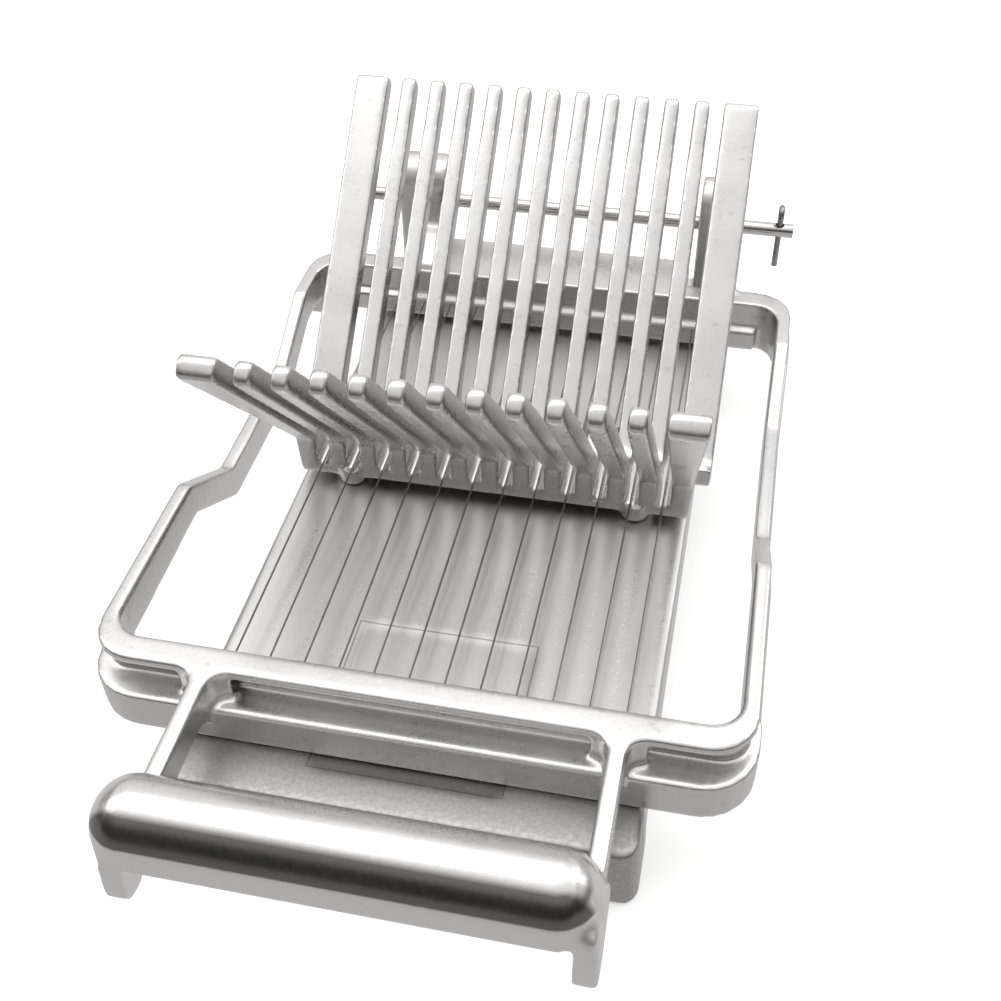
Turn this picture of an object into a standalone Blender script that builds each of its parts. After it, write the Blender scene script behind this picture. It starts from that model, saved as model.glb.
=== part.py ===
"""Cast-aluminium egg and luncheon-meat slicer.

A V-shaped comb cradle stands on a flat bed, and a hinged frame strung with twelve steel
wires swings down through the comb.  Origin: centre of the footprint, on the table.
+X to the right of the user, +Y towards the hinge, +Z up.  The wire frame is shown closed.
Dimensions below are laid out from a working line; CENTRE_Y moves the footprint's centre
to the origin at the end.
"""
import math

import bmesh
import bpy
from mathutils import Matrix, Vector

MM = 0.001

# Driving dimensions, in millimetres.
WIRE_COUNT = 12
WIRE_PITCH = 8.0
WIRE_RADIUS = 0.25
WIRE_HOLE_RADIUS = 0.6
WIRE_Y = (-67.4, 89.4)
WIRE_Z = 23.0
SLOT_WIDTH = 3.5
SLOT_FLOOR = 22.3

BED_HALF_WIDTH = 50.4
BED_Y = (-85.0, 123.0)
BED_TOP = 16.75
BED_WALL = 3.0
BED_DRAFT = 0.9
PAD = 10.0

CRADLE_HALF_WIDTH = 50.4
CRADLE_BACK_WIDTH = 54.8
CRADLE_FLARE = 0.055
CRADLE_FRONT = 11.0
FOOT_X = 37.0
FOOT_Y = (17.5, 33.0)
FOOT_RADIUS = 4.2
TOE = (13.3, 3.9, 4.6)
GAP = 0.3

FRAME_HALF_WIDTH = 70.9
FRAME_Y = (-69.5, 94.5)
RAIL_WIDTH = 3.7
BAR_WIDTH = 6.6
FRAME_CORNER = 10.0
LIP_OUT = 0.8
CORNER_DROP = 2.6
DEEP_GROW = (1.1, 3.8)
LIP_HEIGHT = 2.4
FRONT_LOW = BED_TOP + 0.35
REAR_LOW = BED_TOP + 0.9
FRONT_TOP = 35.6
REAR_TOP = 32.5
LOW_TOP = 21.5
RAIL_HEIGHT = 9.3

HANDLE_X = -0.5
GRIP_X = -2.4
HANDLE_Y = -106.0
HANDLE_Z = 35.6
HANDLE_RADIUS = 8.7
HANDLE_HALF_LENGTH = 48.7
HANDLE_SKIRT = 31.2
ARM_X = (41.9, 45.7)
ARM_FILLET = 4.0
LEG_X = (42.6, 47.4)
LEG_BOTTOM = 19.5

ROD_Y = 114.0
ROD_Z = 41.6
ROD_RADIUS = 2.0
ROD_HOLE_RADIUS = 2.3
ROD_X = (-60.0, 69.0)
EAR_RADIUS = 8.0
EAR_TOP = 47.3
BASE_EARS = ((-48.0, -41.5), (41.8, 47.8))
FRAME_EARS = ((-40.5, -34.0), (48.8, 54.8))

CENTRE_Y = 4.28

COTTER_X = 65.0
COTTER_WIRE = 0.85
COTTER_HOLE_RADIUS = 1.3


def clear_scene():
    for item in list(bpy.data.objects):
        bpy.data.objects.remove(item, do_unlink=True)


def new_collection(name):
    collection = bpy.data.collections.new(name)
    bpy.context.scene.collection.children.link(collection)
    return collection


def metal(name, colour, roughness, metallic=1.0):
    material = bpy.data.materials.new(name)
    material.use_nodes = True
    shader = material.node_tree.nodes["Principled BSDF"]
    shader.inputs["Base Color"].default_value = (*colour, 1.0)
    shader.inputs["Roughness"].default_value = roughness
    shader.inputs["Metallic"].default_value = metallic
    return material


def fillet(points, segments=5):
    """Round the corners of a closed outline; each point is (u, v) or (u, v, radius)."""
    result = []
    count = len(points)
    for index, point in enumerate(points):
        here = Vector(point[:2])
        radius = point[2] if len(point) > 2 else 0.0
        if radius <= 0.0:
            result.append(here)
            continue
        before = (Vector(points[index - 1][:2]) - here).normalized()
        after = (Vector(points[(index + 1) % count][:2]) - here).normalized()
        half = before.angle(after) / 2.0
        reach = radius / math.tan(half)
        centre = here + (before + after).normalized() * (radius / math.sin(half))
        start = here + before * reach - centre
        end = here + after * reach - centre
        turn = start.angle_signed(end)
        for step in range(segments + 1):
            angle = -turn * step / segments
            cosine, sine = math.cos(angle), math.sin(angle)
            result.append(centre + Vector((start.x * cosine - start.y * sine,
                                           start.x * sine + start.y * cosine)))
    return result


def rounded_rectangle(x_low, x_high, y_low, y_high, radius):
    corners = ((x_low, y_low), (x_high, y_low), (x_high, y_high), (x_low, y_high))
    return fillet([(x, y, radius) for x, y in corners])


def curve_to_mesh(curve_object, collection):
    """Turn a curve object into a welded closed mesh object of the same name."""
    name = curve_object.name
    curve_object.name = name + "_curve"
    bpy.context.view_layer.update()
    graph = bpy.context.evaluated_depsgraph_get()
    mesh = bpy.data.meshes.new_from_object(curve_object.evaluated_get(graph))
    mesh.transform(curve_object.matrix_world)
    shape = bmesh.new()
    shape.from_mesh(mesh)
    bmesh.ops.remove_doubles(shape, verts=shape.verts, dist=0.000001)
    bmesh.ops.recalc_face_normals(shape, faces=shape.faces)
    shape.to_mesh(mesh)
    shape.free()
    mesh.name = name
    bpy.data.objects.remove(curve_object, do_unlink=True)
    result = bpy.data.objects.new(name, mesh)
    collection.objects.link(result)
    return result


def plate(name, outline, low, high, collection, across="Z"):
    """A flat outline in millimetres, extruded from low to high along Z or X.

    Along X the outline is read as (y, z) pairs.
    """
    curve = bpy.data.curves.new(name, "CURVE")
    curve.dimensions = "2D"
    curve.fill_mode = "BOTH"
    curve.extrude = (high - low) / 2.0 * MM
    spline = curve.splines.new("POLY")
    spline.points.add(len(outline) - 1)
    for point, place in zip(spline.points, outline):
        point.co = (place[0] * MM, place[1] * MM, 0.0, 1.0)
    spline.use_cyclic_u = True
    item = bpy.data.objects.new(name, curve)
    collection.objects.link(item)
    middle = (low + high) / 2.0 * MM
    if across == "Z":
        item.matrix_world = Matrix.Translation((0.0, 0.0, middle))
    else:
        turn = Matrix(((0, 0, 1), (1, 0, 0), (0, 1, 0))).to_4x4()
        item.matrix_world = Matrix.Translation((middle, 0.0, 0.0)) @ turn
    return curve_to_mesh(item, collection)


def box(name, low, high, collection):
    """A box from one corner to the other, in millimetres."""
    shape = bmesh.new()
    size = [(b - a) * MM for a, b in zip(low, high)]
    middle = [(a + b) / 2.0 * MM for a, b in zip(low, high)]
    place = Matrix.Translation(middle) @ Matrix.Diagonal((*size, 1.0))
    bmesh.ops.create_cube(shape, size=1.0, matrix=place)
    return finish_bmesh(name, shape, collection)


def cylinder(name, centre, radius, length, axis, collection, sides=24, top_radius=None):
    """A cylinder or cone about X, Y or Z, centred on a point, in millimetres."""
    turns = {"X": Matrix.Rotation(math.pi / 2, 4, "Y"), "Z": Matrix.Identity(4),
             "Y": Matrix.Rotation(-math.pi / 2, 4, "X")}
    shape = bmesh.new()
    far_radius = radius if top_radius is None else top_radius
    place = Matrix.Translation(Vector(centre) * MM) @ turns[axis]
    bmesh.ops.create_cone(shape, cap_ends=True, segments=sides, radius1=radius * MM,
                          radius2=far_radius * MM, depth=length * MM, matrix=place)
    return finish_bmesh(name, shape, collection)


def finish_bmesh(name, shape, collection):
    mesh = bpy.data.meshes.new(name)
    bmesh.ops.recalc_face_normals(shape, faces=shape.faces)
    shape.to_mesh(mesh)
    shape.free()
    item = bpy.data.objects.new(name, mesh)
    collection.objects.link(item)
    return item


def combine(item, tool, operation):
    """Apply an exact Boolean with another object, which then goes away."""
    modifier = item.modifiers.new(operation.title(), "BOOLEAN")
    modifier.operation = operation
    modifier.solver = "EXACT"
    modifier.object = tool
    bpy.context.view_layer.update()
    graph = bpy.context.evaluated_depsgraph_get()
    mesh = bpy.data.meshes.new_from_object(item.evaluated_get(graph))
    item.modifiers.clear()
    old = item.data
    item.data = mesh
    bpy.data.meshes.remove(old)
    bpy.data.objects.remove(tool, do_unlink=True)
    return item


def add(item, *tools):
    for tool in tools:
        combine(item, tool, "UNION")
    return item


def cut(item, *tools):
    for tool in tools:
        combine(item, tool, "DIFFERENCE")
    return item


def keep_within(item, tool):
    return combine(item, tool, "INTERSECT")


def weld(item):
    """Merge the tiny edges that Booleans leave, and name the mesh after its object."""
    shape = bmesh.new()
    shape.from_mesh(item.data)
    bmesh.ops.remove_doubles(shape, verts=shape.verts, dist=0.00001)
    shape.to_mesh(item.data)
    shape.free()
    item.data.name = item.name
    item.data.shade_smooth()
    item.data.set_sharp_from_angle(angle=math.radians(30))
    return item


def wire_places():
    return [(index - (WIRE_COUNT - 1) / 2.0) * WIRE_PITCH for index in range(WIRE_COUNT)]


def ear_outline(bottom, front, back, shoulder):
    """Side view of a hinge ear, rounded at its top, as (y, z) pairs."""
    rear = ROD_Y + 1.0 + EAR_RADIUS
    near = ROD_Y + 1.0 - EAR_RADIUS
    top = EAR_TOP + EAR_RADIUS
    return fillet([(front, bottom), (back, bottom), (rear, ROD_Z - 4.0, 3.0),
                   (rear, top, EAR_RADIUS * 0.98), (near, top, EAR_RADIUS * 0.98),
                   (near, ROD_Z - 4.0, 3.0), (front, shoulder)], 6)


def rod_hole(name, x_low, x_high, collection):
    centre = ((x_low + x_high) / 2.0, ROD_Y, ROD_Z)
    return cylinder(name, centre, ROD_HOLE_RADIUS, x_high - x_low, "X", collection, 20)


def build_bed(parts, cutters):
    """Flat bed on four corner feet, hollow underneath, with the fixed hinge ears."""
    y_low, y_high = BED_Y
    outline = rounded_rectangle(-BED_HALF_WIDTH, BED_HALF_WIDTH, y_low, y_high, 4.0)
    bed = plate("base_bed", outline, 0.0, BED_TOP, parts)
    inner = rounded_rectangle(-BED_HALF_WIDTH + BED_WALL, BED_HALF_WIDTH - BED_WALL,
                              y_low + BED_WALL, y_high - BED_WALL, 2.0)
    cut(bed, plate("bed_hollow", inner, -1.0, BED_TOP - BED_WALL, cutters))
    foot_length = 16.0
    arch_height = 6.0
    arch = [(y_low + foot_length, -1.0), (y_high - foot_length, -1.0),
            (y_high - foot_length, arch_height, 5.0), (y_low + foot_length, arch_height, 5.0)]
    reach = BED_HALF_WIDTH + 5.0
    cut(bed, plate("side_arch", fillet(arch), -reach, reach, cutters, "X"))
    half = BED_HALF_WIDTH - foot_length
    arch = fillet([(-half, -1.0), (half, -1.0), (half, arch_height, 5.0),
                   (-half, arch_height, 5.0)])
    end_arch = plate("end_arch", arch, y_low - 5.0, y_high + 5.0, cutters)
    end_arch.data.transform(Matrix.Rotation(math.pi / 2, 4, "X"))
    end_arch.data.transform(Matrix.Translation((0.0, (y_low + y_high) * MM, 0.0)))
    cut(bed, end_arch)
    reach_x, reach_y = BED_HALF_WIDTH - 1.0, (y_high - y_low) / 2.0 - 1.0
    middle = (y_low + y_high) / 2.0
    for side in (-1, 1):
        for end in (-1, 1):
            xs = sorted((side * reach_x, side * (reach_x - PAD)))
            ys = sorted((middle + end * reach_y, middle + end * (reach_y - PAD)))
            add(bed, box("pad", (xs[0], ys[0], 0.0), (xs[1], ys[1], BED_TOP - 1.0), cutters))
    panel = rounded_rectangle(-21.2, 21.2, -76.0, -34.6, 3.0)
    cut(bed, plate("panel_recess", panel, BED_TOP - 0.4, BED_TOP + 1.0, cutters))
    for number, (x_low, x_high) in enumerate(BASE_EARS):
        ear = plate(f"base_ear_{number}", ear_outline(BED_TOP - 2.0, 106.0, 122.5, BED_TOP + 1.0),
                    x_low, x_high, cutters, "X")
        add(bed, ear)
        cut(bed, rod_hole(f"base_ear_hole_{number}", x_low - 1.0, x_high + 1.0, cutters))
    for x in (-FOOT_X, FOOT_X):
        for y in FOOT_Y:
            boss = cylinder("screw_boss", (x, y, BED_TOP - 3.5), 5.0, 3.0, "Z", cutters, 20)
            add(bed, boss)
            hole = cylinder("screw_hole", (x, y, BED_TOP - 2.0), 2.1, 12.0, "Z", cutters, 16)
            cut(bed, hole)
    weld(bed)
    for vertex in bed.data.vertices:
        lean = BED_DRAFT * max(0.0, 1.0 - vertex.co.z / (BED_TOP * MM)) * MM
        if abs(vertex.co.x) > (BED_HALF_WIDTH - 4.5) * MM:
            vertex.co.x += math.copysign(lean, vertex.co.x)
        if abs(vertex.co.y - middle * MM) > (reach_y - 3.5) * MM:
            vertex.co.y += math.copysign(lean, vertex.co.y - middle * MM)
    return bed


def cradle_profile():
    """Side view of the V: short front wing, long back wing, block at the bottom."""
    return fillet([
        (CRADLE_FRONT, 19.0), (CRADLE_FRONT, 30.2, 2.0), (-35.3, 84.5, 1.5), (-31.4, 88.5, 2.0),
        (26.2, 21.7, 5.0), (99.3, 87.5, 1.5), (103.0, 83.4, 1.5), (40.0, 26.6, 4.0),
        (40.0, 19.0, 2.0)], 4)


def build_cradle(parts, cutters):
    """Comb cradle: the V profile, slotted for every wire, on four feet."""
    width = CRADLE_BACK_WIDTH
    cradle = plate("comb_cradle", cradle_profile(), -width, width, parts, "X")
    for side in (-1, 1):
        lean = CRADLE_FLARE * 90.0
        outline = [(side * CRADLE_HALF_WIDTH, 19.0), (side * (CRADLE_HALF_WIDTH + lean), 109.0),
                   (side * 80.0, 109.0), (side * 80.0, 0.0), (side * CRADLE_HALF_WIDTH, 0.0)]
        trim = plate("front_trim", outline, -24.0, 60.0, cutters)
        trim.data.transform(Matrix.Rotation(math.pi / 2, 4, "X"))
        cut(cradle, trim)
    places = [(x, y) for x in (-FOOT_X, FOOT_X) for y in FOOT_Y]
    for x, y in places:
        add(cradle, cylinder("foot", (x, y, BED_TOP + GAP + 1.6), FOOT_RADIUS, 3.2, "Z",
                             cutters, 20))
    toe_y, toe_radius, toe_height = TOE
    for x in (-FOOT_X, FOOT_X):
        centre = (x, toe_y, BED_TOP + GAP + 0.04 + toe_height / 2.0)
        add(cradle, cylinder("toe", centre, toe_radius, toe_height, "Z", cutters, 20))
    for number, x in enumerate(wire_places()):
        low = (x - SLOT_WIDTH / 2.0, CRADLE_FRONT - 60.0, SLOT_FLOOR)
        high = (x + SLOT_WIDTH / 2.0, CRADLE_FRONT + 110.0, 110.0)
        cut(cradle, box(f"slot_{number}", low, high, cutters))
    for x, y in places:
        cut(cradle, cylinder("thread", (x, y, BED_TOP + 2.2), 2.1, 5.0, "Z", cutters, 16))
    return weld(cradle)


def frame_band(name, low, high, cutters):
    """Side view of the joggled side rails between two heights above their lower edge.

    low and high are distances up from the rail's lower edge; the band follows the rail
    as it steps down beside the cradle and back up to the rear bar.  The lower edge drops
    a little towards the front corners.
    """
    line = [(-90.0, FRONT_TOP, CORNER_DROP), (-16.5, FRONT_TOP, 0.0), (5.5, LOW_TOP, 0.0),
            (48.5, LOW_TOP, 0.0), (70.5, REAR_TOP, 0.0), (110.0, REAR_TOP, 0.0)]
    edges = []
    for level in (high, low):
        share = 1.0 - level / RAIL_HEIGHT
        edges.append([(y, z - RAIL_HEIGHT + level - drop * share, 4.0)
                      for y, z, drop in line])
        edges[-1][0] = edges[-1][0][:2]
        edges[-1][-1] = edges[-1][-1][:2]
    outline = edges[0] + edges[1][::-1]
    reach = FRAME_HALF_WIDTH + 10.0
    return plate(name, fillet(outline, 3), -reach, reach, cutters, "X")


def ring(name, outer_grow, inner_grow, low, high, collection, cutters):
    """A rounded rectangular ring in plan, between two offsets of the frame's outline.

    Each offset is an (x, y) pair; a positive inner offset makes the ring thinner.
    """
    x, y_low, y_high = FRAME_HALF_WIDTH, FRAME_Y[0], FRAME_Y[1]
    outer = rounded_rectangle(-x - outer_grow[0], x + outer_grow[0], y_low - outer_grow[1],
                              y_high + outer_grow[1], FRAME_CORNER + max(outer_grow) / 2.0)
    inner_x = x - RAIL_WIDTH + inner_grow[0]
    inner = rounded_rectangle(-inner_x, inner_x, y_low + BAR_WIDTH - inner_grow[1],
                              y_high - BAR_WIDTH + inner_grow[1], 6.5)
    body = plate(name, outer, low, high, collection)
    return cut(body, plate(name + "_opening", inner, low - 1.0, high + 1.0, cutters))


def end_zone(name, front, cutters):
    """Side view of the region where an end bar and its corners are deeper than the rails."""
    if front:
        outline = [(-90.0, 0.0), (-60.3, 0.0), (-54.1, 31.3), (-90.0, 31.3)]
    else:
        outline = [(110.0, 0.0), (110.0, 28.7), (80.3, 28.7), (84.1, 0.0)]
    reach = FRAME_HALF_WIDTH + 10.0
    return plate(name, outline, -reach, reach, cutters, "X")


def build_rails(parts, cutters):
    """Rounded frame with a channel outside: top flange, recessed web and lower flange.

    The front and rear bars and their corners are deeper; they hold the wires' ends.
    """
    frame = ring("wire_frame", (0.0, 0.0), (0.0, 0.0), 0.0, 50.0, parts, cutters)
    keep_within(frame, frame_band("rail_band", 0.0, RAIL_HEIGHT, cutters))
    lip = ring("lip", (LIP_OUT, LIP_OUT), (0.0, 0.0), 0.0, 50.0, cutters, cutters)
    add(frame, keep_within(lip, frame_band("lip_band", 0.0, LIP_HEIGHT, cutters)))
    for front, grow, low, high in ((True, DEEP_GROW, FRONT_LOW, FRONT_TOP - 2.4),
                                   (False, (0.5, 0.5), REAR_LOW, REAR_TOP - 2.4)):
        deep = ring("deep", grow, (-0.1, -0.1), low, high, cutters, cutters)
        add(frame, keep_within(deep, end_zone("zone", front, cutters)))
    groove = ring("groove", (8.0, 8.0), (RAIL_WIDTH - 1.4, BAR_WIDTH - 3.6), 0.0, 50.0,
                  cutters, cutters)
    keep_within(groove, frame_band("groove_band", LIP_HEIGHT, RAIL_HEIGHT - 2.0, cutters))
    cut(frame, groove)
    inner = FRAME_Y[1] - BAR_WIDTH
    outline = [(inner - 2.4, REAR_LOW + 0.5, 0.8), (inner + 1.0, REAR_LOW + 0.1),
               (inner + 1.0, 25.2), (inner - 2.4, 24.2, 0.8)]
    half = FRAME_HALF_WIDTH - 9.0
    return add(frame, plate("rear_lip", fillet(outline, 3), -half, half, cutters, "X"))


def corner_fillet(x, y, side, radius):
    """Plan of the concave fillet between an arm's face and the front of the front bar."""
    overlap = 1.0
    outline = [(x - side * overlap, y + overlap), (x + side * radius, y + overlap)]
    for step in range(5):
        angle = math.radians(90.0 * step / 4.0)
        outline.append((x + side * radius * (1.0 - math.sin(angle)),
                        y - radius * (1.0 - math.cos(angle))))
    outline.append((x - side * overlap, y - radius))
    return outline


def build_grip(cutters):
    """Domed grip bar, round at both ends and hollow underneath."""
    y, z, r = HANDLE_Y, HANDLE_Z, HANDLE_RADIUS
    left, right = GRIP_X - HANDLE_HALF_LENGTH, GRIP_X + HANDLE_HALF_LENGTH
    steps = 12
    dome = [(y - r * math.cos(math.pi * s / steps), z + r * math.sin(math.pi * s / steps))
            for s in range(steps + 1)]
    outline = dome + [(y + r, HANDLE_SKIRT + 2.0), (y - r, HANDLE_SKIRT)]
    grip = plate("grip", outline, left, right, cutters, "X")
    nose = fillet([(left, y - r, 8.0), (right, y - r, 8.0), (right, y + r, 8.0),
                   (left, y + r, 8.0)], 8)
    keep_within(grip, plate("grip_plan", nose, 0.0, 60.0, cutters))
    end_view = fillet([(left, 10.0), (right, 10.0), (right, z + r, 8.0),
                       (left, z + r, 8.0)], 8)
    front_view = plate("grip_front", end_view, -150.0, 150.0, cutters)
    front_view.data.transform(Matrix.Rotation(math.pi / 2, 4, "X"))
    keep_within(grip, front_view)
    wall = 2.8
    hollow = fillet([(y - r + wall, HANDLE_SKIRT - 3.0), (y + r - wall, HANDLE_SKIRT - 3.0),
                     (y + r - wall, z + r - wall, 4.0), (y - r + wall, z + r - wall, 4.0)])
    inset = 9.0
    return cut(grip, plate("grip_hollow", hollow, left + inset, right - inset, cutters, "X"))


def build_handle(frame, cutters):
    """Two arms filleted into the front bar, the grip, and a short leg at each end."""
    y, z, r = HANDLE_Y, HANDLE_Z, HANDLE_RADIUS
    bar_front = FRAME_Y[0]
    arm = fillet([(bar_front + 4.0, FRONT_TOP), (y + 2.0, FRONT_TOP), (y + 2.0, 27.0, 2.0),
                  (bar_front - 8.0, 27.4, 3.0), (bar_front - 1.0, 20.5),
                  (bar_front + 4.0, 20.5)], 4)
    leg = fillet([(y + 5.0, z + 0.6, 2.0), (y - r + 1.0, z + 0.6, 2.0), (y - r + 0.1, z - 2.0),
                  (y - r - 0.9, LEG_BOTTOM + 1.0, 3.0), (y - 3.0, LEG_BOTTOM, 4.0),
                  (y + 5.0, 29.4, 3.0)], 4)
    add(frame, build_grip(cutters))
    for side in (-1, 1):
        low, high = sorted((side * ARM_X[0], side * ARM_X[1]))
        add(frame, plate("arm", arm, low, high, cutters, "X"))
        for face, way in ((ARM_X[0], -side), (ARM_X[1], side)):
            plan = corner_fillet(side * face, bar_front, way, ARM_FILLET)
            add(frame, plate("arm_fillet", plan, 22.0, FRONT_TOP, cutters))
        low, high = sorted((HANDLE_X + side * LEG_X[0], HANDLE_X + side * LEG_X[1]))
        add(frame, plate("leg", leg, low, high, cutters, "X"))
    return frame


def build_frame(parts, cutters):
    """The moving casting: rails, end bars, handle, hinge bridge and hinge ears."""
    frame = build_rails(parts, cutters)
    build_handle(frame, cutters)
    bridge_back = 107.5
    bridge = fillet([(-40.5, FRAME_Y[1] - 2.0), (40.6, FRAME_Y[1] - 2.0),
                     (40.6, bridge_back, 3.0), (-40.5, bridge_back, 3.0)], 3)
    add(frame, plate("hinge_bridge", bridge, REAR_TOP - 4.5, REAR_TOP - 0.01, cutters))
    for number, (x_low, x_high) in enumerate(FRAME_EARS):
        outline = ear_outline(REAR_TOP - 6.0, FRAME_Y[1] - 5.0, 119.0, REAR_TOP - 0.7)
        ear = plate(f"frame_ear_{number}", outline, x_low, x_high, cutters, "X")
        add(frame, ear)
        cut(frame, rod_hole(f"frame_ear_hole_{number}", x_low - 1.0, x_high + 1.0, cutters))
    hole_length = 12.0
    inset = hole_length / 2.0 - 0.4
    for x in wire_places():
        for y in (WIRE_Y[0] + inset, WIRE_Y[1] - inset):
            cut(frame, cylinder("wire_hole", (x, y, WIRE_Z), WIRE_HOLE_RADIUS, hole_length,
                                "Y", cutters, 6))
    return weld(frame)


def build_wires(parts):
    """Twelve straight cutting wires, anchored in blind holes in both end bars."""
    length = WIRE_Y[1] - WIRE_Y[0]
    middle = (WIRE_Y[0] + WIRE_Y[1]) / 2.0
    wires = []
    for number, x in enumerate(wire_places(), start=1):
        wires.append(cylinder(f"wire_{number:02d}", (x, middle, WIRE_Z), WIRE_RADIUS, length,
                              "Y", parts, 8))
    return wires


def build_rod(parts, cutters):
    """Hinge rod with a flat head on the left and a cross hole for the cotter pin."""
    x_low, x_high = ROD_X
    middle = ((x_low + x_high) / 2.0, ROD_Y, ROD_Z)
    rod = cylinder("hinge_rod", middle, ROD_RADIUS, x_high - x_low, "X", parts, 24)
    add(rod, cylinder("rod_head", (x_low - 1.0, ROD_Y, ROD_Z), 3.8, 2.4, "X", cutters, 24))
    cut(rod, cylinder("cotter_hole", (COTTER_X, ROD_Y, ROD_Z), COTTER_HOLE_RADIUS, 10.0, "Z",
                      cutters, 14))
    return weld(rod)


def build_cotter(parts):
    """Cotter pin: a straight leg through the rod and an open eye above it."""
    eye_radius = 1.9
    leg_low, leg_high = ROD_Z - 12.0, ROD_Z + 3.3
    eye_centre = leg_high + eye_radius
    points = [(0.0, leg_low), (0.0, leg_high - 1.0)]
    for step in range(11):
        angle = math.radians(-80.0 + 280.0 * step / 10.0)
        points.append((eye_radius * math.cos(angle), eye_centre + eye_radius * math.sin(angle)))
    curve = bpy.data.curves.new("cotter_pin", "CURVE")
    curve.dimensions = "3D"
    curve.bevel_depth = COTTER_WIRE * MM
    curve.bevel_resolution = 2
    curve.use_fill_caps = True
    spline = curve.splines.new("POLY")
    spline.points.add(len(points) - 1)
    for point, (y, z) in zip(spline.points, points):
        point.co = (COTTER_X * MM, (ROD_Y + y) * MM, z * MM, 1.0)
    item = bpy.data.objects.new("cotter_pin", curve)
    parts.objects.link(item)
    return weld(curve_to_mesh(item, parts))


def build_screws(parts, cutters):
    """Four pan-head screws from below the bed into the cradle's feet."""
    screws = []
    names = {(-1, 0): "front_left", (1, 0): "front_right", (-1, 1): "rear_left",
             (1, 1): "rear_right"}
    for (side, row), name in names.items():
        x, y = side * FOOT_X, FOOT_Y[row]
        head_top = BED_TOP - 5.0 - GAP
        screw = cylinder(f"cradle_screw_{name}", (x, y, head_top - 1.2), 3.4, 2.4, "Z",
                         parts, 20, 3.7)
        tip = BED_TOP + 4.3
        shank = cylinder("shank", (x, y, (head_top - 0.5 + tip) / 2.0), 1.7,
                         tip - head_top + 0.5, "Z", cutters, 16)
        add(screw, shank)
        cut(screw, box("slot", (x - 3.0, y - 0.4, head_top - 4.0),
                       (x + 3.0, y + 0.4, head_top - 1.5), cutters))
        screws.append(weld(screw))
    return screws


def main():
    clear_scene()
    parts = new_collection("egg_slicer")
    cutters = new_collection("cutters")
    cast = metal("cast_aluminium", (0.78, 0.78, 0.76), 0.34)
    satin = metal("satin_aluminium", (0.70, 0.69, 0.67), 0.42)
    steel = metal("stainless_wire", (0.55, 0.54, 0.52), 0.25)
    bright = metal("bright_steel", (0.72, 0.71, 0.69), 0.18)
    dark = metal("dark_steel", (0.16, 0.15, 0.14), 0.38)
    finishes = {"base_bed": satin, "comb_cradle": cast, "wire_frame": cast,
                "hinge_rod": bright, "cotter_pin": dark}
    build_bed(parts, cutters)
    build_cradle(parts, cutters)
    frame = build_frame(parts, cutters)
    moving = [frame] + build_wires(parts)
    build_rod(parts, cutters)
    build_cotter(parts)
    build_screws(parts, cutters)
    for item in parts.objects:
        if item.name.startswith("wire_") and item is not frame:
            item.data.materials.append(steel)
        else:
            item.data.materials.append(finishes.get(item.name, bright))
        item.data.transform(Matrix.Translation((0.0, -CENTRE_Y * MM, 0.0)))
    hinge = bpy.data.objects.new("frame_hinge_axis", None)
    hinge.location = (0.0, (ROD_Y - CENTRE_Y) * MM, ROD_Z * MM)
    parts.objects.link(hinge)
    bpy.context.view_layer.update()
    for item in moving:
        item.parent = hinge
        item.matrix_parent_inverse = hinge.matrix_world.inverted()


main()
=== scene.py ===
import bpy
import math
from mathutils import Matrix, Vector


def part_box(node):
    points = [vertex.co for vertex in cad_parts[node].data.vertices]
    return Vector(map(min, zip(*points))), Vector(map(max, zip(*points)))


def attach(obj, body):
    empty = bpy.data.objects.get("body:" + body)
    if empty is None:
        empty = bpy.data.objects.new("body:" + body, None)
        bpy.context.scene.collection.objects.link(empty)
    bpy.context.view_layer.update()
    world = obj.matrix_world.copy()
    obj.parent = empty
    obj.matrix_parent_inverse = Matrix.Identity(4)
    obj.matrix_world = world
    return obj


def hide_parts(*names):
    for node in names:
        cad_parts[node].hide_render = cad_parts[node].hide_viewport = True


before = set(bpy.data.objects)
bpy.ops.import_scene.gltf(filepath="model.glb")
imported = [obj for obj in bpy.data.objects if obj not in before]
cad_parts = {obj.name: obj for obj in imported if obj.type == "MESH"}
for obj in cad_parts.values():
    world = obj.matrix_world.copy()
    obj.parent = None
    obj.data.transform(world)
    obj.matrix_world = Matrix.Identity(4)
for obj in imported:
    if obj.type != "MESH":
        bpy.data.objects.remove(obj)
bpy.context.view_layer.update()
print("frame loaded:", len(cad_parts), "castings, wires and fittings")

mm = 0.001
wirePitch = 8.0 * mm
hingeY = 109.72 * mm
hingeZ = 41.6 * mm


def selectOnly(*items):
    if bpy.context.mode != "OBJECT":
        bpy.ops.object.mode_set(mode="OBJECT")
    bpy.ops.object.select_all(action="DESELECT")
    for item in items:
        item.select_set(True)
    bpy.context.view_layer.objects.active = items[0]


def applyModifier(item, kind, name, **settings):
    modifier = item.modifiers.new(name, kind)
    for key, value in settings.items():
        setattr(modifier, key, value)
    selectOnly(item)
    bpy.ops.object.modifier_apply(modifier=modifier.name)


def bakePlace(item):
    selectOnly(item)
    bpy.ops.object.transform_apply(location=True, rotation=True, scale=True)


def nameIt(item, name):
    item.name = name
    item.data.name = name


def triangleCount(item):
    item.data.calc_loop_triangles()
    return len(item.data.loop_triangles)


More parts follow.
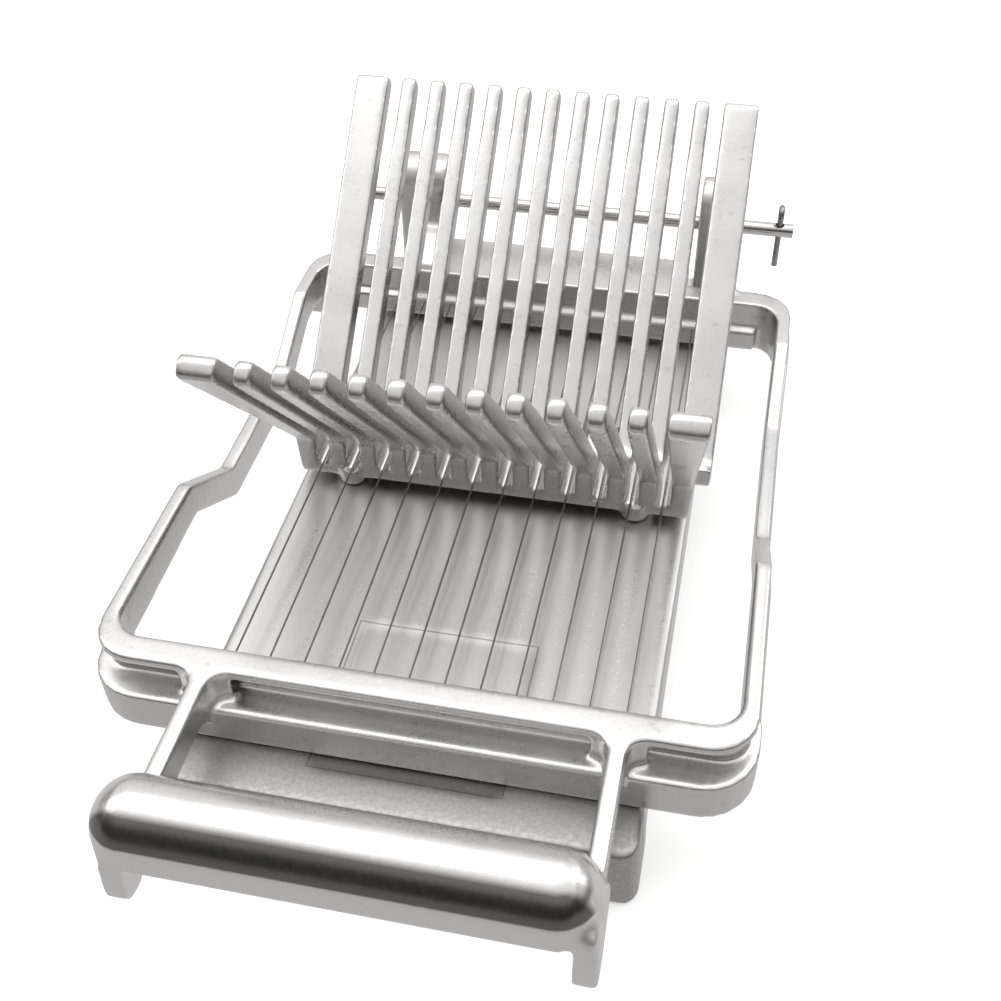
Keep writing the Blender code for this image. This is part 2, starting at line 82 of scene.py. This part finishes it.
class Socket:  # shader maths written as plain expressions
    def __init__(self, tree, link):
        self.tree = tree
        self.link = link

    def maths(self, operation, other=None, swap=False):
        node = self.tree.nodes.new("ShaderNodeMath")
        node.operation = operation
        for index, value in enumerate([other, self] if swap else [self, other]):
            if isinstance(value, Socket):
                self.tree.links.new(value.link, node.inputs[index])
            elif value is not None:
                node.inputs[index].default_value = value
        return Socket(self.tree, node.outputs[0])

    def __add__(self, other):
        return self.maths("ADD", other)

    __radd__ = __add__

    def __mul__(self, other):
        return self.maths("MULTIPLY", other)

    __rmul__ = __mul__

    def __sub__(self, other):
        return self.maths("SUBTRACT", other)

    def __rsub__(self, other):
        return self.maths("SUBTRACT", other, swap=True)

    def __truediv__(self, other):
        return self.maths("DIVIDE", other)

    def cosine(self):
        return self.maths("COSINE")

    def absolute(self):
        return self.maths("ABSOLUTE")

    def clamp(self):
        return self.maths("MULTIPLY", 1.0).withClamp()

    def withClamp(self):
        self.link.node.use_clamp = True
        return self


class Paint:  # the nodes of a new material, or of a tree that is already there
    def __init__(self, name=None, tree=None):
        if tree is None:
            self.material = bpy.data.materials.new(name)
            self.material.use_nodes = True
            tree = self.material.node_tree
            self.shader = tree.nodes["Principled BSDF"]
        self.tree = tree

    def node(self, kind, settings=None, inputs=None, output=0):
        made = self.tree.nodes.new(kind)
        settings = dict(settings or {})
        stops = settings.pop("stops", None)
        for key, value in settings.items():
            setattr(made, key, value)
        if stops:
            ramp = made.color_ramp
            while len(ramp.elements) < len(stops):
                ramp.elements.new(1.0)
            for element, (place, colour) in zip(ramp.elements, stops):
                element.position = place
                element.color = (*colour, 1.0)
        for key, value in (inputs or {}).items():
            if isinstance(value, Socket):
                self.tree.links.new(value.link, made.inputs[key])
            else:
                made.inputs[key].default_value = value
        return Socket(self.tree, made.outputs[output])

    def place(self):
        return self.node("ShaderNodeTexCoord", output=3)

    def axis(self, place, index):
        return self.node("ShaderNodeSeparateXYZ", inputs={0: place}, output=index)

    def noise(self, place, scale, detail=2.0, roughness=0.5):
        return self.node("ShaderNodeTexNoise", inputs={"Vector": place, "Scale": scale,
                         "Detail": detail, "Roughness": roughness}, output=0)

    def stretched(self, place, scale):
        return self.node("ShaderNodeMapping", inputs={"Vector": place, "Scale": scale})

    def mix(self, share, one, other):
        made = self.tree.nodes.new("ShaderNodeMix")
        made.data_type = "RGBA"
        for index, value in ((0, share), (6, one), (7, other)):
            if isinstance(value, Socket):
                self.tree.links.new(value.link, made.inputs[index])
            elif index == 0:
                made.inputs[index].default_value = value
            else:
                made.inputs[index].default_value = (*value, 1.0)
        return Socket(self.tree, made.outputs[2])

    def bump(self, height, strength, distance, under=None):
        inputs = {"Height": height, "Strength": strength, "Distance": distance}
        if under is not None:
            inputs["Normal"] = under
        return self.node("ShaderNodeBump", inputs=inputs)

    def feed(self, **values):
        for key, value in values.items():
            socket = self.shader.inputs[key.replace("_", " ")]
            if isinstance(value, Socket):
                self.tree.links.new(value.link, socket)
            elif isinstance(value, tuple):
                socket.default_value = (*value, 1.0)
            else:
                socket.default_value = value
        return self.material


castLook = {"bright": (0.88, 0.875, 0.86), "dull": (0.70, 0.69, 0.67), "pitAndShade": (0.30, 0.29, 0.27),
            "grainScale": 900.0, "patchScale": 55.0, "rough": 0.30, "roughSpread": 0.16,
            "roughGrain": 0.16, "pitFrom": 0.66, "pitShare": 0.22, "grainHeight": 0.00003,
            "sideShade": 0.28, "gripRough": 0.28, "gripEnd": -0.098, "gripFront": 0.1130,
            "bandLow": 0.0380, "bandHigh": 0.0430, "bandShare": 0.95, "skirtShare": 0.6,
            "skirtRough": 0.16, "darkReflection": (0.15, 0.147, 0.14)}  # places in metres


def castMetal(name, look, polishGrip=False):
    paint = Paint(name)
    place = paint.place()
    patches = paint.noise(place, look["patchScale"], 3.0)
    grain = paint.noise(place, look["grainScale"], 2.0)
    specks = paint.noise(place, look["grainScale"] * 0.45, 1.0)
    colour = paint.mix(patches, look["dull"], look["bright"])
    pits = ((specks - look["pitFrom"]) * 9.0).clamp()
    colour = paint.mix(pits * look["pitShare"], colour, look["pitAndShade"])
    facing = paint.node("ShaderNodeTexCoord", output=1)  # painted shade darkens the side walls
    upright = (1.0 - paint.axis(facing, 2).absolute() * 1.6).clamp()
    # painted shade: walls facing sideways are mixed towards the dark pit colour
    colour = paint.mix(upright * look["sideShade"], colour, look["pitAndShade"])
    rough = look["rough"] + (patches - 0.5) * look["roughSpread"]
    rough = rough + (grain - 0.5) * look["roughGrain"]
    if polishGrip:  # hands keep the grip smooth, and its dome has a painted dark reflection in a band over a skirt with a painted pale reflection
        wearAndSheen = ((paint.axis(place, 1) * -1.0 + look["gripEnd"]) * 400.0).clamp()
        rough = rough - wearAndSheen * (look["rough"] - look["gripRough"])
        front = ((paint.axis(place, 1) * -1.0 - look["gripFront"]) * 800.0).clamp()
        height = paint.axis(place, 2)
        band = ((height - look["bandLow"]) * 2500.0).clamp()
        band = band - ((height - look["bandHigh"]) * 1400.0).clamp()
        # painted reflection: a dark band across the front of the dome
        colour = paint.mix((front * band).clamp() * look["bandShare"], colour, look["darkReflection"])
        # painted reflection: the skirt below the band is lightened
        skirt = front * ((look["bandLow"] - height) * 2500.0).clamp()
        colour = paint.mix(skirt * look["skirtShare"], colour, look["bright"])
        rough = rough + skirt * look["skirtRough"]
    height = paint.bump(grain, 0.55, look["grainHeight"])
    height = paint.bump(patches, 0.2, look["grainHeight"] * 3.0, height)
    return paint.feed(Base_Color=colour, Roughness=rough, Metallic=1.0, Normal=height)


bedLook = {"bright": (0.84, 0.83, 0.81), "dull": (0.62, 0.61, 0.59), "rough": 0.40,
           "streakScale": 70.0, "grainScale": 1300.0, "grainHeight": 0.00002,
           "shine": 0.10, "barShade": (0.30, 0.295, 0.28), "line": (0.16, 0.155, 0.145),
           "stripeLight": (0.88, 0.88, 0.86), "roughGrain": 0.22, "roughStreaks": 0.10,
           "topFrom": 0.0155, "stripesBack": 0.004, "stripesFront": 0.076, "barShadeFrom": -0.0755}


panelPlan = {"halfWide": 0.0212, "front": -0.0803, "back": -0.0389, "line": 0.00028}


def panelLine(paint, place):  # thin engraved outline on the bed
    plan = panelPlan
    middle = (plan["front"] + plan["back"]) / 2.0
    halfLong = (plan["back"] - plan["front"]) / 2.0
    sideways = paint.axis(place, 0).absolute() - plan["halfWide"]
    lengthways = (paint.axis(place, 1) - middle).absolute() - halfLong
    outside = sideways.maths("MAXIMUM", lengthways)
    return (1.0 - outside.absolute() / plan["line"]).clamp()


def satinBed(name, look):
    paint = Paint(name)
    place = paint.place()
    streaks = paint.noise(paint.stretched(place, (1.0, 0.08, 1.0)), look["streakScale"] * 4.0, 3.0)
    clouds = paint.noise(place, look["streakScale"], 2.0)
    grain = paint.noise(place, look["grainScale"], 2.0)
    across = paint.axis(place, 0) / wirePitch * (2.0 * math.pi)  # painted light stripes between the wires
    bands = across.cosine() * 0.5 + 0.5
    top = ((paint.axis(place, 2) - look["topFrom"]) * 900.0).clamp()
    front = ((look["stripesBack"] - paint.axis(place, 1)) * 60.0).clamp()
    front = front * ((paint.axis(place, 1) + look["stripesFront"]) * 200.0).clamp()
    wearAndSheen = bands * top * front
    tone = (streaks * 0.5 + clouds * 0.5)
    colour = paint.mix(tone, look["dull"], look["bright"])
    # painted light: pale stripes between the wires on the bed top, with lower roughness
    colour = paint.mix(wearAndSheen * 0.35, colour, look["stripeLight"])
    barShade = ((look["barShadeFrom"] - paint.axis(place, 1)) * 400.0).clamp()  # painted shade, darker past the front bar
    colour = paint.mix(barShade * (0.45 + grain * 0.5), colour, look["barShade"])
    colour = paint.mix(panelLine(paint, place) * top * 0.8, colour, look["line"])
    rough = look["rough"] + (grain - 0.5) * look["roughGrain"]
    rough = rough + (streaks - 0.5) * look["roughStreaks"] - wearAndSheen * look["shine"]
    height = paint.bump(grain, 0.6, look["grainHeight"])
    return paint.feed(Base_Color=colour, Roughness=rough, Metallic=1.0, Normal=height)


def drawnSteel(name, colour, rough, along, lineScale=1600.0):
    paint = Paint(name)
    place = paint.place()
    squeeze = tuple(0.04 if index == along else 1.0 for index in range(3))
    lines = paint.noise(paint.stretched(place, squeeze), lineScale, 2.0)
    smudge = paint.noise(place, 130.0, 2.0)
    dull = tuple(part * 0.72 for part in colour)
    tone = paint.mix(lines * 0.5 + smudge * 0.5, dull, colour)
    rough = rough + (smudge - 0.5) * 0.18 + (lines - 0.5) * 0.1
    return paint.feed(Base_Color=tone, Roughness=rough, Metallic=1.0,
                      Normal=paint.bump(lines, 0.35, 0.00003))


castAluminium = castMetal("castAluminium", castLook, polishGrip=True)
combAluminium = castMetal("combAluminium", {**castLook, "rough": 0.30, "patchScale": 80.0,
                                            "grainScale": 1000.0, "sideShade": 0.50})
satinAluminium = satinBed("satinAluminium", bedLook)
wireSteel = drawnSteel("wireSteel", (0.34, 0.335, 0.32), 0.30, 1)
rodSteel = drawnSteel("rodSteel", (0.80, 0.79, 0.77), 0.16, 0, 1200.0)
pinSteel = drawnSteel("pinSteel", (0.42, 0.41, 0.39), 0.30, 2, 1500.0)
print("metals mixed")


castings = {
    "frameCasting": {"node": "wire_frame", "body": "moving_frame", "slot": "cast_aluminium",
                     "voxel": 0.54, "soften": 5, "most": 196000},
    "combCasting": {"node": "comb_cradle", "body": "base", "slot": "cast_aluminium",
                    "voxel": 0.50, "soften": 9, "most": 195000},
    "bedCasting": {"node": "base_bed", "body": "base", "slot": "satin_aluminium",
                   "voxel": 0.70, "soften": 5, "most": 190000},
}


tipPlan = {"from": 58.0, "over": 30.0, "slim": 0.14, "outermost": 6}  # mm


def slimTips(item):  # the inner fingers narrow towards their tips
    plan = tipPlan
    for vertex in item.data.vertices:
        x, z = vertex.co.x, vertex.co.z
        reach = max(0.0, (z - plan["from"] * mm) / (plan["over"] * mm))
        finger = round(x / wirePitch)
        if reach > 0.0 and abs(finger) < plan["outermost"]:
            middle = finger * wirePitch
            vertex.co.x = middle + (x - middle) * (1.0 - plan["slim"] * reach)


gripPlan = {"left": -42.4, "right": 37.6, "y": -110.28, "z": 35.6, "radius": 8.7,
            "innerReach": 7.2, "outerReach": 10.9, "armBack": -101.3,
            "blendFrom": 35.0, "blendOver": 3.0, "armFade": 2.0, "endBack": -107.0,
            "endLow": 31.0, "endLeft": -45.5, "endRight": 41.5, "endSoften": 60}  # mm


def roundGrip(item):  # the dome and its ends are one smooth capsule
    plan = gripPlan
    for vertex in item.data.vertices:
        x, y, z = vertex.co.x / mm, vertex.co.y / mm, vertex.co.z / mm
        if z < plan["blendFrom"] or y > plan["armBack"]:
            continue
        nearest = Vector((min(max(x, plan["left"]), plan["right"]), plan["y"], plan["z"]))
        nearest.z = min(z, plan["z"])
        out = Vector((x, y, z)) - nearest
        if out.length < plan["innerReach"] or out.length > plan["outerReach"]:
            continue
        share = min(1.0, (z - plan["blendFrom"]) / plan["blendOver"])
        if plan["left"] <= x <= plan["right"]:
            share = min(1.0, share * 4.0)
        else:
            share = share * min(1.0, (plan["armBack"] - y) / plan["armFade"])
        goal = nearest + out * (plan["radius"] / out.length)
        vertex.co = Vector((x, y, z)).lerp(goal, share) * mm
    ends = item.vertex_groups.new(name="ends")  # the legs run softly into the dome
    inEnds = [vertex.index for vertex in item.data.vertices
              if vertex.co.y < plan["endBack"] * mm and vertex.co.z > plan["endLow"] * mm
              and not plan["endLeft"] * mm < vertex.co.x < plan["endRight"] * mm]
    ends.add(inEnds, 1.0, "REPLACE")
    applyModifier(item, "SMOOTH", "Blend", factor=0.5, iterations=plan["endSoften"],
                  vertex_group="ends")


def softCasting(name, plan, material, before=None, after=None):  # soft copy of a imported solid
    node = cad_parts[plan["node"]]
    selectOnly(node)
    bpy.ops.object.duplicate()
    item = bpy.context.view_layer.objects.active
    item.parent = None
    for key in list(item.keys()):
        del item[key]
    nameIt(item, name)
    bpy.ops.object.mode_set(mode="EDIT")
    bpy.ops.mesh.select_all(action="SELECT")
    bpy.ops.mesh.remove_doubles(threshold=0.00001)
    bpy.ops.object.mode_set(mode="OBJECT")
    if before:
        before(item)
    applyModifier(item, "REMESH", "Skin", mode="VOXEL", voxel_size=plan["voxel"] * mm)
    applyModifier(item, "SMOOTH", "Soften", factor=0.5, iterations=plan["soften"])
    if after:
        after(item)
    count = triangleCount(item)
    print(name, "skin has", count)
    if count > plan["most"]:
        applyModifier(item, "DECIMATE", "Thin", ratio=plan["most"] / count)
        applyModifier(item, "SMOOTH", "Settle", factor=0.5, iterations=3)
    selectOnly(item)
    bpy.ops.object.shade_smooth()
    item.data.materials.clear()
    item.data.materials.append(material)
    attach(item, plan["body"])
    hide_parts(plan["node"])
    print(name, triangleCount(item), "triangles")


softCasting("frameCasting", castings["frameCasting"], castAluminium, after=roundGrip)
softCasting("combCasting", castings["combCasting"], combAluminium, before=slimTips)
softCasting("bedCasting", castings["bedCasting"], satinAluminium)


rodPlan = {"radius": 2.0, "left": -61.2, "right": 69.0, "headRadius": 3.8, "headThick": 2.4,
           "headX": -61.0, "chamfer": 0.45, "sides": 48, "drillX": 65.0, "drillRadius": 1.25,
           "drillLong": 8.0, "drillSides": 24}  # mm


def hingeRod(plan):
    length = plan["right"] - plan["left"]
    middle = (plan["right"] + plan["left"]) / 2.0
    bpy.ops.object.select_all(action="DESELECT")
    bpy.ops.mesh.primitive_cylinder_add(vertices=plan["sides"], radius=plan["radius"] * mm,
                                        depth=length * mm, location=(middle * mm, hingeY, hingeZ),
                                        rotation=(0.0, math.pi / 2, 0.0))
    rod = bpy.context.object
    bakePlace(rod)
    bpy.ops.mesh.primitive_cylinder_add(vertices=plan["sides"], radius=plan["headRadius"] * mm,
                                        depth=plan["headThick"] * mm,
                                        location=(plan["headX"] * mm, hingeY, hingeZ),
                                        rotation=(0.0, math.pi / 2, 0.0))
    head = bpy.context.object
    bakePlace(head)
    applyModifier(rod, "BOOLEAN", "Head", operation="UNION", object=head, solver="EXACT")
    bpy.data.objects.remove(head)
    bpy.ops.object.select_all(action="DESELECT")
    bpy.ops.mesh.primitive_cylinder_add(vertices=plan["drillSides"],
                                        radius=plan["drillRadius"] * mm,
                                        depth=plan["drillLong"] * mm,
                                        location=(plan["drillX"] * mm, hingeY, hingeZ))
    drill = bpy.context.object
    bakePlace(drill)
    applyModifier(rod, "BOOLEAN", "Drill", operation="DIFFERENCE", object=drill, solver="EXACT")
    bpy.data.objects.remove(drill)
    applyModifier(rod, "BEVEL", "Chamfer", width=plan["chamfer"] * mm, segments=3,
                  limit_method="ANGLE", angle_limit=math.radians(50))
    selectOnly(rod)
    bpy.ops.object.shade_smooth_by_angle(angle=math.radians(35))
    nameIt(rod, "hingePin")
    rod.data.materials.append(rodSteel)
    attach(rod, "base")
    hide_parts("hinge_rod")


hingeRod(rodPlan)
print("hinge rod turned")


cotterPlan = {"x": 65.0, "wire": 0.85, "eye": 1.9, "legLow": -12.0, "legHigh": 3.3, "steps": 22,
              "eyeFrom": -80.0, "eyeTurn": 280.0, "endRound": 0.25}  # mm and degrees


def cotterPin(plan):
    curve = bpy.data.curves.new("cotterPin", "CURVE")
    curve.dimensions = "3D"
    curve.bevel_depth = plan["wire"] * mm
    curve.bevel_resolution = 4
    curve.use_fill_caps = True
    points = [(0.0, plan["legLow"]), (0.0, plan["legLow"] + 4.0), (0.0, plan["legHigh"] - 1.0)]
    centre = plan["legHigh"] + plan["eye"]
    for step in range(plan["steps"] + 1):
        angle = math.radians(plan["eyeFrom"] + plan["eyeTurn"] * step / plan["steps"])
        points.append((plan["eye"] * math.cos(angle), centre + plan["eye"] * math.sin(angle)))
    spline = curve.splines.new("POLY")
    spline.points.add(len(points) - 1)
    for point, (y, z) in zip(spline.points, points):
        point.co = (plan["x"] * mm, hingeY + y * mm, hingeZ + z * mm, 1.0)
    pin = bpy.data.objects.new("cotterPin", curve)
    bpy.context.scene.collection.objects.link(pin)
    selectOnly(pin)
    bpy.ops.object.convert(target="MESH")
    pin = bpy.context.object
    bpy.ops.object.mode_set(mode="EDIT")
    bpy.ops.mesh.select_all(action="SELECT")
    bpy.ops.mesh.remove_doubles(threshold=0.00001)
    bpy.ops.object.mode_set(mode="OBJECT")
    applyModifier(pin, "BEVEL", "Ends", width=plan["endRound"] * mm, segments=2,
                  limit_method="ANGLE", angle_limit=math.radians(60))
    selectOnly(pin)
    bpy.ops.object.shade_smooth_by_angle(angle=math.radians(40))
    nameIt(pin, "cotterPin")
    pin.data.materials.clear()
    pin.data.materials.append(pinSteel)
    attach(pin, "base")
    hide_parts("cotter_pin")


cotterPin(cotterPlan)
print("cotter pin bent")


screwPlan = {"headRadius": 3.5, "headThick": 2.2, "shank": 1.65, "slotLong": 8.0,
             "slotWide": 0.8, "slotDeep": 1.0, "round": 0.35, "sides": 40}  # mm


def underScrew(name, plan):
    low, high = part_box(name)
    x, y = (low.x + high.x) / 2.0, (low.y + high.y) / 2.0
    bpy.ops.object.select_all(action="DESELECT")
    bpy.ops.mesh.primitive_cylinder_add(vertices=plan["sides"], radius=plan["headRadius"] * mm,
                                        depth=plan["headThick"] * mm,
                                        location=(x, y, low.z + plan["headThick"] * mm / 2.0))
    head = bpy.context.object
    bakePlace(head)
    bpy.ops.object.mode_set(mode="EDIT")
    bpy.ops.mesh.select_all(action="DESELECT")
    bpy.ops.object.mode_set(mode="OBJECT")
    for face in head.data.polygons:
        face.select = face.normal.z > 0.9
    bpy.ops.object.mode_set(mode="EDIT")
    bpy.ops.mesh.inset(thickness=(plan["headRadius"] - plan["shank"]) * mm)
    bpy.ops.mesh.extrude_region_move(
        TRANSFORM_OT_translate={"value": (0.0, 0.0, high.z - low.z - plan["headThick"] * mm)})
    bpy.ops.object.mode_set(mode="OBJECT")
    bpy.ops.mesh.primitive_cube_add(size=1.0, location=(x, y, low.z))
    slot = bpy.context.object
    slot.scale = (plan["slotLong"] * mm, plan["slotWide"] * mm, plan["slotDeep"] * 2.0 * mm)
    bakePlace(slot)
    applyModifier(head, "BOOLEAN", "Slot", operation="DIFFERENCE", object=slot, solver="EXACT")
    bpy.data.objects.remove(slot)
    applyModifier(head, "BEVEL", "Edges", width=plan["round"] * mm, segments=3,
                  limit_method="ANGLE", angle_limit=math.radians(50))
    selectOnly(head)
    bpy.ops.object.shade_smooth_by_angle(angle=math.radians(35))
    nameIt(head, name.replace("cradle_screw", "slottedScrew"))
    head.data.materials.append(rodSteel)
    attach(head, "base")
    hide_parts(name)


for nodeName in sorted(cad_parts):
    if nodeName.startswith("cradle_screw"):
        underScrew(nodeName, screwPlan)
print("screws cut")


for nodeName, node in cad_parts.items():
    if nodeName.startswith("wire_") and nodeName != "wire_frame":
        node.data.materials.clear()
        node.data.materials.append(wireSteel)
print("wires strung")


stagePlan = {"floorSize": 40.0, "floorTone": 0.92, "floorGlow": 0.45, "skyTop": 0.90,
             "skyLow": 0.62, "lean": 0.30, "lowLean": 0.12,
             "skySide": 0.10, "key": 3.7, "fill": 1.4, "back": 2.0, "floorRough": 0.9,
             "floorGloss": 0.1, "floorDrop": 0.0002}


def studioFloor(plan):
    bpy.ops.object.select_all(action="DESELECT")
    bpy.ops.mesh.primitive_plane_add(size=plan["floorSize"],
                                     location=(0.0, 0.0, -plan["floorDrop"]))
    floor = bpy.context.object
    nameIt(floor, "floor")
    paint = Paint("paleFloor")
    tone = plan["floorTone"]
    floor.data.materials.append(paint.feed(Base_Color=(tone, tone, tone),
                                           Roughness=plan["floorRough"],
                                           Specular_IOR_Level=plan["floorGloss"],
                                           Emission_Color=(1.0, 1.0, 1.0),
                                           Emission_Strength=plan["floorGlow"]))
    floor.visible_glossy = False  # the metal mirrors the sky's low tone instead


def studioSky(plan):  # bright overhead, dark low down and towards the front
    world = bpy.data.worlds.new("softStudio")
    bpy.context.scene.world = world
    world.use_nodes = True
    sky = Paint(tree=world.node_tree)
    place = sky.node("ShaderNodeTexCoord")
    back, height = sky.axis(place, 1), sky.axis(place, 2)
    lean = (height + back * plan["lean"]).clamp()
    side, top = plan["skySide"], plan["skyTop"]
    tones = sky.node("ShaderNodeValToRGB", {"stops": (
        (0.0, (side, side, side)), (0.28, (side * 1.3,) * 3), (0.50, (top * 0.85,) * 3),
        (1.0, (top, top, top)))}, {0: lean})
    low = plan["skyLow"] + back * plan["lowLean"]
    below = (height * -40.0).clamp()
    shade = sky.mix(below, tones, (1.0, 1.0, 1.0))
    strength = 1.0 - below + below * low
    seen = sky.node("ShaderNodeLightPath")  # the backdrop itself stays pale
    shade = sky.mix(seen, shade, (1.0, 1.0, 1.0))
    strength = strength + seen * (1.0 - strength)
    background = world.node_tree.nodes["Background"]
    world.node_tree.links.new(shade.link, background.inputs["Color"])
    world.node_tree.links.new(strength.link, background.inputs["Strength"])


def softBox(name, power, size, place, target):
    light = bpy.data.lights.new(name, "AREA")
    light.energy = power
    light.shape = "RECTANGLE"
    light.size, light.size_y = size
    item = bpy.data.objects.new(name, light)
    item.location = place
    item.rotation_euler = (Vector(target) - Vector(place)).to_track_quat("-Z", "Y").to_euler()
    bpy.context.scene.collection.objects.link(item)


cameraPlan = {"place": (55.55, -226.71, 243.70), "pitch": 0.7574, "yaw": 0.2225,
              "roll": -0.0241, "lens": 46.16}  # mm and radians


def placeCamera(plan):
    pitch, yaw, roll = plan["pitch"], plan["yaw"], plan["roll"]
    ahead = Vector((-math.sin(yaw) * math.cos(pitch), math.cos(yaw) * math.cos(pitch),
                    -math.sin(pitch)))
    right = Vector((math.cos(yaw), math.sin(yaw), 0.0))
    up = right.cross(ahead)
    turnedRight = right * math.cos(roll) + up * math.sin(roll)
    turnedUp = up * math.cos(roll) - right * math.sin(roll)
    data = bpy.data.cameras.new("viewCamera")
    data.lens = plan["lens"]
    data.sensor_width = 36.0
    data.clip_start, data.clip_end = 0.01, 20.0
    camera = bpy.data.objects.new("viewCamera", data)
    turn = Matrix((turnedRight, turnedUp, -ahead)).transposed().to_4x4()
    camera.matrix_world = Matrix.Translation(Vector(plan["place"]) * mm) @ turn
    bpy.context.scene.collection.objects.link(camera)
    bpy.context.scene.camera = camera


studioFloor(stagePlan)
studioSky(stagePlan)
softBox("overheadBox", stagePlan["key"], (1.2, 0.9), (-0.15, 0.25, 1.1), (0.0, 0.0, 0.0))
softBox("leftBox", stagePlan["fill"], (0.6, 0.9), (-0.9, -0.1, 0.6), (0.0, 0.0, 0.03))
softBox("rightBox", stagePlan["back"], (0.6, 0.8), (0.8, 0.5, 0.7), (0.0, 0.0, 0.03))
placeCamera(cameraPlan)
bpy.context.scene.view_settings.view_transform = "Standard"
print("studio lit")
